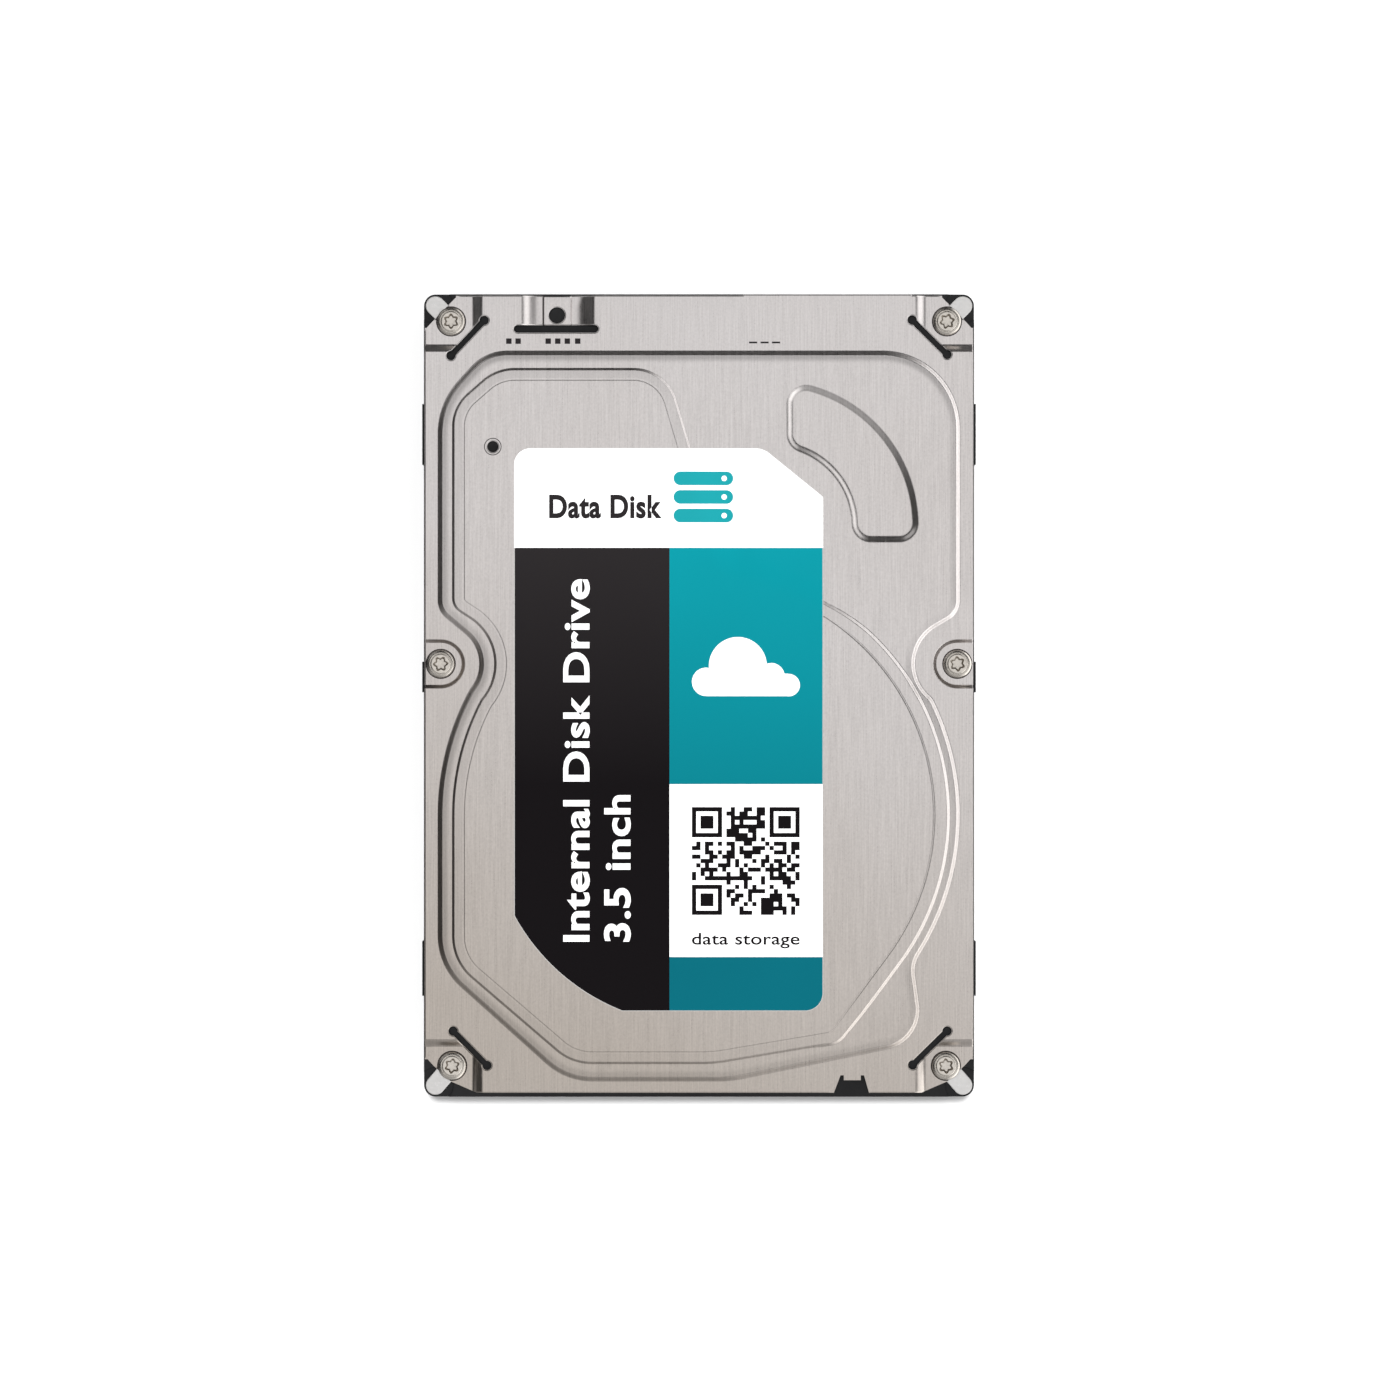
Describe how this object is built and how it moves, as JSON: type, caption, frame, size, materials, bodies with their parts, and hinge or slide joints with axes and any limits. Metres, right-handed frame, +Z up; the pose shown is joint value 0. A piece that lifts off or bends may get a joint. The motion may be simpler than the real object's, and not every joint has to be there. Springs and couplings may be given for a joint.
{
  "type": "hard disk drive",
  "caption": "Flat rectangular 3.5-inch hard disk drive: black casting, pressed brushed-steel cover with a printed label, disks and a swinging head arm inside, SATA plug at one end.",
  "frame": {"origin": "on the bottom plane, under the middle of the drive's outline", "axes": "+Z up through the top cover, +Y to the connector end, +X to the right seen from the cover with the connector end away"},
  "size_m": [0.1016, 0.147, 0.0261],
  "materials": {
    "amber_plastic": "moulded",
    "black_plastic": "moulded",
    "board": "green solder mask",
    "casting": "black electrocoat on die-cast aluminium, bright where machined",
    "chip_epoxy": "moulded epoxy",
    "copper_wire": "enamelled copper",
    "cover_steel": "fine vertical brushing",
    "crash_rubber": "matt",
    "desiccant": "white pouch",
    "disk": "polished mirror",
    "filter_fabric": "white non-woven",
    "gasket": "matt",
    "gold_contact": "gold plated",
    "ground_steel": "ground",
    "insulator": "foam sheet",
    "label_film": "printed film: white, black and teal",
    "lamination": "stacked laminations",
    "machined_aluminium": "machined",
    "magnet": "nickel plated",
    "polyimide": "amber film",
    "rotor_magnet": "bonded magnet",
    "screw_steel": "bright zinc",
    "slider_ceramic": "dark ceramic",
    "stainless_foil": "stainless foil",
    "white_plastic": "moulded acetal",
    "yoke_steel": "nickel plated"
  },
  "bodies": {
    "housing": {"actuator_flex": "polyimide", "base_casting": "casting", "board_insulator": "insulator", "board_screws": "screw_steel", "breather_filter": "filter_fabric", "bulkhead_connector": "black_plastic", "circuit_board": "board", "controller_chip": "chip_epoxy", "cover_gasket": "gasket", "cover_screws": "screw_steel", "crash_stops": "crash_rubber", "desiccant_pack": "desiccant", "diagnostic_pins": "gold_contact", "flash_chip": "chip_epoxy", "flex_bracket": "black_plastic", "flex_bracket_screws": "screw_steel", "label": "label_film", "latch_pin": "ground_steel", "memory_chip": "chip_epoxy", "motor_base": "machined_aluminium", "motor_driver_chip": "chip_epoxy", "motor_flex": "polyimide", "parking_ramp": "white_plastic", "pivot_shaft": "ground_steel", "ramp_screw": "screw_steel", "recirculation_filter": "filter_fabric", "sata_contacts": "gold_contact", "sata_housing": "black_plastic", "shaft_screws": "screw_steel", "small_components": "chip_epoxy", "spindle_shaft": "ground_steel", "stator_core": "lamination", "stator_windings": "copper_wire", "top_cover": "cover_steel", "vcm_bottom_yoke": "yoke_steel", "vcm_lower_magnet": "magnet", "vcm_screws": "screw_steel", "vcm_standoffs": "ground_steel", "vcm_top_yoke": "yoke_steel", "vcm_upper_magnet": "magnet"},
    "rotor": {"spindle_hub": "machined_aluminium", "bearing_sleeve": "ground_steel", "rotor_magnet": "rotor_magnet", "platter_1": "disk", "platter_2": "disk", "platter_3": "disk", "platter_4": "disk", "disk_spacers": "machined_aluminium", "disk_clamp": "stainless_foil", "clamp_screws": "screw_steel"},
    "actuator": {"e_block": "machined_aluminium", "pivot_sleeve": "ground_steel", "pivot_bearings": "ground_steel", "voice_coil": "copper_wire", "coil_overmold": "black_plastic", "suspensions": "stainless_foil", "head_sliders": "slider_ceramic", "preamp_chip": "chip_epoxy"},
    "latch": {"latch_lever": "amber_plastic"}
  },
  "joints": [
    {"name": "spindle_spin", "type": "hinge", "parent": "housing", "child": "rotor", "pos_m": [0, -0.02185, 0.013], "axis": [0, 0, 1], "continuous": true},
    {"name": "actuator_swing", "type": "hinge", "parent": "housing", "child": "actuator", "pos_m": [-0.017, 0.031, 0.0135], "axis": [0, 0, 1], "range_deg": [-34.4, 0], "deforming": ["actuator_flex"]},
    {"name": "latch_swing", "type": "hinge", "parent": "housing", "child": "latch", "pos_m": [-0.0385, 0.057, 0.0135], "axis": [0, 0, 1], "range_deg": [0, 18]}
  ]
}
